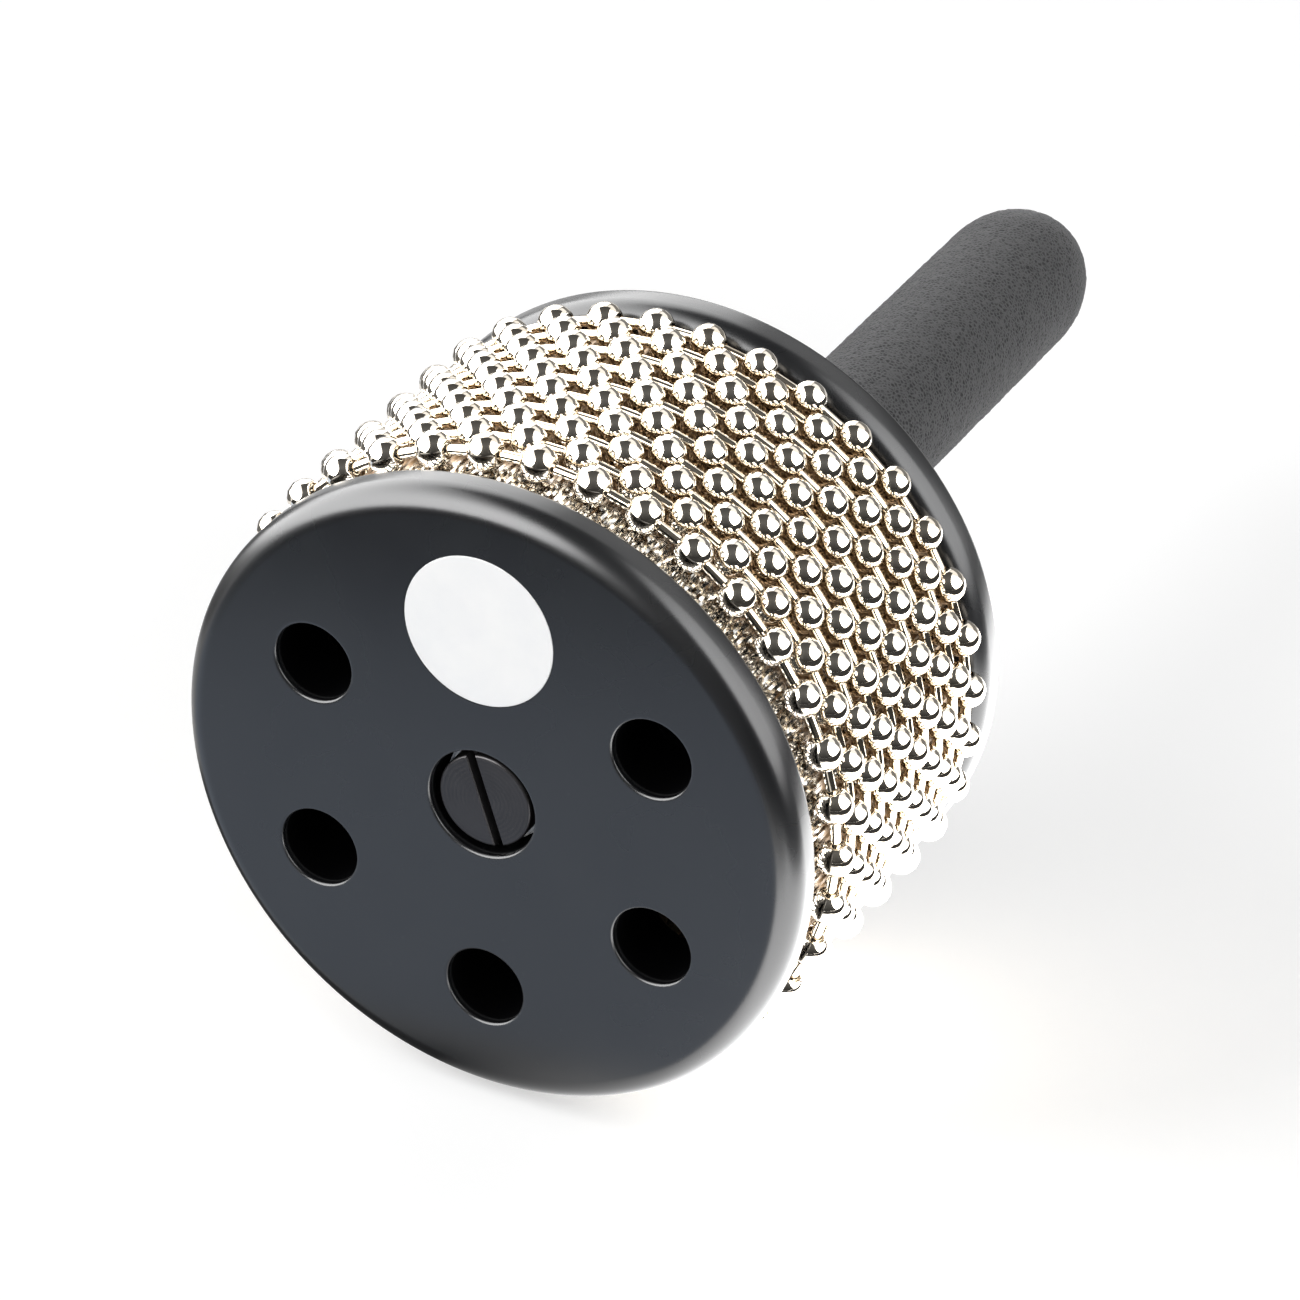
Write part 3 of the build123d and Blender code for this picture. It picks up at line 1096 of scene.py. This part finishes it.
buildCamera()
print("camera set")


# Studio

studio = {
    "floorSize": 12.0,
    "floorColour": (0.55, 0.55, 0.55, 1),
    "floorMottle": 0.985,
    "floorGlow": 0.5,
    "fill": 0.34,
    "aim": (-0.04, 0.0, 0.06),
    "softboxes": (
        {"name": "leftSoftbox", "place": (-0.67, 0.84, 0.8), "size": 0.75, "power": 11.5},
        {"name": "rightSoftbox", "place": (-0.7, -0.9, 0.7), "size": 0.7, "power": 6.5},
        {"name": "backLeftSoftbox", "place": (1.05, 0.92, 0.4), "size": 0.7, "power": 4.0},
        {"name": "backRightSoftbox", "place": (0.94, -0.66, 0.67), "size": 0.7, "power": 3.5},
    ),
}


def whiteForView(tree):
    # true for the rays that show a background: seen straight, in metal and through glass
    path = addNode(tree, "ShaderNodeLightPath").outputs
    seen = maths(tree, "MAXIMUM", path["Is Camera Ray"], path["Is Glossy Ray"])
    return maths(tree, "MAXIMUM", seen, path["Is Transmission Ray"])


def buildWorld():
    world = bpy.data.worlds.new("studio")
    scene.world = world
    world.use_nodes = True
    tree = world.node_tree
    shader = tree.nodes["Background"]
    shader.inputs["Color"].default_value = (1, 1, 1, 1)
    wire(tree, spread(tree, whiteForView(tree), studio["fill"], 1.0), shader.inputs["Strength"])


def buildFloor():
    half = studio["floorSize"] / 2
    bm = bmesh.new()
    corners = ((-half, -half), (half, -half), (half, half), (-half, half))
    bm.faces.new([bm.verts.new((x, y, 0)) for x, y in corners])
    mesh = plainMesh(bm, "floor")
    material, tree, shader, place = newMaterial("paleFloor", Roughness=1.0, Specular_IOR_Level=0.0)
    grain = useGroup(tree, fineGrain, Vector=place, Coarse=6.0, Fine=300.0)
    low = tuple(studio["floorMottle"] * c for c in studio["floorColour"][:3]) + (1,)
    wire(tree, mixColours(tree, grain["Tone"], low, studio["floorColour"]), shader.inputs["Base Color"])
    shader.inputs["Emission Color"].default_value = (1, 1, 1, 1)
    wire(tree, spread(tree, whiteForView(tree), 0.0, studio["floorGlow"]), shader.inputs["Emission Strength"])
    mesh.materials.append(material)
    floor = addObject("floor", mesh)


def buildSoftboxes():
    for box in studio["softboxes"]:
        data = bpy.data.lights.new(box["name"], "AREA")
        data.shape = "DISK"
        data.size = box["size"]
        data.energy = box["power"]
        lamp = addObject(box["name"], data)
        lamp.location = box["place"]
        lamp.rotation_euler = (Vector(studio["aim"]) - lamp.location).to_track_quat("-Z", "Y").to_euler()
        lamp.visible_camera = False
        lamp.visible_glossy = False


# What polished surfaces show of the room, as painted reflections: cards that glow though they are no lamps
# and are seen only in reflections. Round it stand painted reflections of bright cloth walls on the left,
# behind on the left and on the right, the second over a dark foot, then a dim wing over a dark end behind on
# the right, and the dark gap where the camera is. On the floor lie a glowing card for a lit table on the
# right, a pale sheet before the drum, and dark cards that paint shade: round those, on the left, and under
# the front plate.
room = {
    "walls": (
        {"name": "backLeftWall", "turn": (15, 75), "rise": (9, 66), "power": 10.0, "glow": (0.4, 0.9, 0.15)},
        {"name": "backLeftFoot", "turn": (15, 75), "rise": (-1, 9), "power": 0.35, "glow": (1, 1, 1)},
        {"name": "leftWall", "turn": (75, 190), "rise": (-1, 66), "power": 16.0, "glow": (0.56, 1, 0.15)},
        {"name": "rightWall", "turn": (222, 318), "rise": (-1, 80), "power": 9.5, "glow": (1, 0.55, 0.2)},
        {"name": "rightWing", "turn": (318, 365), "rise": (28, 72), "power": 1.5, "glow": (1, 1, 1)},
        {"name": "rightEnd", "turn": (318, 375), "rise": (-1, 28), "power": 0.3, "glow": (1, 1, 1)},
    ),
    "wallRadius": 3.0,
    "wallSteps": 12,
    "wallRows": 6,
    "topFade": 0.4,
    "cardMottle": 0.92,
    "gapStrength": 0.17,
    "gapGlow": (0.25, 1.0, 0.5),
    "gapRadius": 2.6,
    "gapAzimuth": 208.0,
    "gapRise": (-1, 121),
    "waistRise": 60.0,
    "waistHalf": 22.0,
    "flare": 30.0,
    "crown": 4.0,
    "gapSteps": 24,
    "height": 0.0005,
    "floorStrength": 0.06,
    "floorNear": ((-0.19, 0.27), (-0.285, -0.05), (-0.24, -0.175), (-0.02, -0.175), (0.35, -0.2)),
    "floorFar": ((-1.7, 1.9), (-2.4, -0.4), (-1.6, -1.9), (0.0, -2.4), (2.0, -1.6)),
    "sheetStrength": 1.3,
    "sheetTint": (0.74, 0.84, 1, 1),
    "sheetCorners": ((-0.115, 0.15), (-0.19, 0.27), (-0.285, -0.05), (-0.215, -0.055), (-0.128, -0.03)),
    "shadeStrength": 0.2,
    "shadeCorners": ((-0.2, 0.29), (0.0, 0.19), (0.14, 0.25), (1.8, 2.1), (0.4, 2.8), (-1.0, 2.6)),
    "tableStrength": 8.0,
    "tableRows": (
        {"across": 0.012, "start": -0.12, "glow": 0.02},
        {"across": -0.03, "start": -0.127, "glow": 0.4},
        {"across": -0.058, "start": -0.212, "glow": 1.0},
        {"across": -0.168, "start": -0.2, "glow": 1.0},
    ),
    "tableEnd": 0.2,
    "underStrength": 0.12,
    "underCorners": ((-0.12, 0.012), (0.2, 0.012), (0.1, 0.1), (-0.06, 0.12), (-0.113, 0.12)),
}


def addCard(name, bm, strength, tint=(1, 1, 1, 1)):
    mesh = plainMesh(bm, name)
    material, tree, shader, place = newMaterial(
        name, Roughness=1.0, Specular_IOR_Level=0.0, Emission_Strength=strength)
    shader.inputs["Base Color"].default_value = (0, 0, 0, 1)
    grain = useGroup(tree, fineGrain, Vector=place, Coarse=3.0, Fine=40.0)
    glow = addNode(tree, "ShaderNodeAttribute", attribute_name="glow").outputs["Fac"]
    shade = tuple(room["cardMottle"] * c for c in tint[:3]) + (1,)
    lit = mixColours(tree, grain["Tone"], shade, tint)
    wire(tree, mixColours(tree, glow, (0, 0, 0, 1), lit), shader.inputs["Emission Color"])
    mesh.materials.append(material)
    card = addObject(name, mesh)
    # the card glows though it is no lamp and shows only in reflections: a painted reflection, and painted
    # shade where it is dark
    card.visible_camera = False
    card.visible_diffuse = False
    card.visible_shadow = False
    card.visible_transmission = False


def newCard():
    # the layer holds how brightly each point of the card glows
    bm = bmesh.new()
    bm.verts.layers.float.new("glow")
    return bm


def cardPoint(bm, place, glow):
    vert = bm.verts.new(place)
    vert[bm.verts.layers.float["glow"]] = glow
    return vert


def domePoint(bm, radius, azimuth, rise, side=0.0, glow=1.0):
    up = math.radians(rise)
    out = math.radians(side)
    point = Vector((math.cos(up) * math.cos(out), math.sin(out), math.sin(up) * math.cos(out)))
    point = Matrix.Rotation(math.radians(azimuth), 3, "Z") @ point * radius
    return cardPoint(bm, Vector(studio["aim"]) + point, glow)


def floorPoint(bm, x, y, glow=1.0):
    return cardPoint(bm, (x, y, room["height"]), glow)


def joinRows(bm, rows):
    for first, second in zip(rows, rows[1:]):
        for i in range(len(first) - 1):
            bm.faces.new((first[i], first[i + 1], second[i + 1], second[i]))


def addFloorCard(name, corners, strength, tint=(1, 1, 1, 1)):
    bm = newCard()
    bm.faces.new([floorPoint(bm, x, y) for x, y in corners])
    addCard(name, bm, strength, tint)


def buildWall(wall):
    # the glow runs from the wall's start to its end, and fades towards its top
    start, end = wall["turn"]
    low, high = wall["rise"]
    startGlow, endGlow, topGlow = wall["glow"]
    turns = [start + (end - start) * i / room["wallSteps"] for i in range(room["wallSteps"] + 1)]
    rises = [low + (high - low) * i / room["wallRows"] for i in range(room["wallRows"] + 1)]
    bm = newCard()
    rows = []
    for rise in rises:
        height = (rise - low) / (high - low)
        dim = 1 - (1 - topGlow) * max(height - 1 + room["topFade"], 0) / room["topFade"]
        row = []
        for turn in turns:
            glow = dim * (startGlow + (endGlow - startGlow) * (turn - start) / (end - start))
            row.append(domePoint(bm, room["wallRadius"], turn, rise, glow=glow))
        rows.append(row)
    joinRows(bm, rows)
    addCard(wall["name"], bm, wall["power"])


def buildGap():
    # narrowest and brightest at the waist
    bm = newCard()
    sides = ([], [])
    low, high = room["gapRise"]
    glowLow, glowWaist, glowHigh = room["gapGlow"]
    for i in range(room["gapSteps"] + 1):
        rise = low + (high - low) * i / room["gapSteps"]
        offset = (room["waistRise"] - rise) / room["waistRise"]
        half = room["waistHalf"] + offset * offset * (room["flare"] if offset > 0 else room["crown"])
        glow = glowWaist + abs(offset) * ((glowLow if offset > 0 else glowHigh) - glowWaist)
        for side, points in zip((-half, half), sides):
            points.append(domePoint(bm, room["gapRadius"], room["gapAzimuth"], rise, side, glow))
    joinRows(bm, sides)
    addCard("darkGap", bm, room["gapStrength"])


def buildTable():
    # a glowing card as a painted reflection of a lit table; its glow fades towards the drum as painted shade
    # beside the front plate
    bm = newCard()
    rows = []
    for row in room["tableRows"]:
        rows.append([floorPoint(bm, x, row["across"], row["glow"]) for x in (row["start"], room["tableEnd"])])
    joinRows(bm, rows)
    addCard("litTable", bm, room["tableStrength"])


def buildRoom():
    for wall in room["walls"]:
        buildWall(wall)
    buildGap()
    addFloorCard("darkFloor", room["floorNear"] + room["floorFar"][::-1], room["floorStrength"])
    addFloorCard("frontSheet", room["sheetCorners"], room["sheetStrength"], room["sheetTint"])
    addFloorCard("leftShade", room["shadeCorners"], room["shadeStrength"])
    addFloorCard("underShade", room["underCorners"], room["underStrength"])
    buildTable()


buildWorld()
buildFloor()
buildSoftboxes()
buildRoom()
print("studio set")
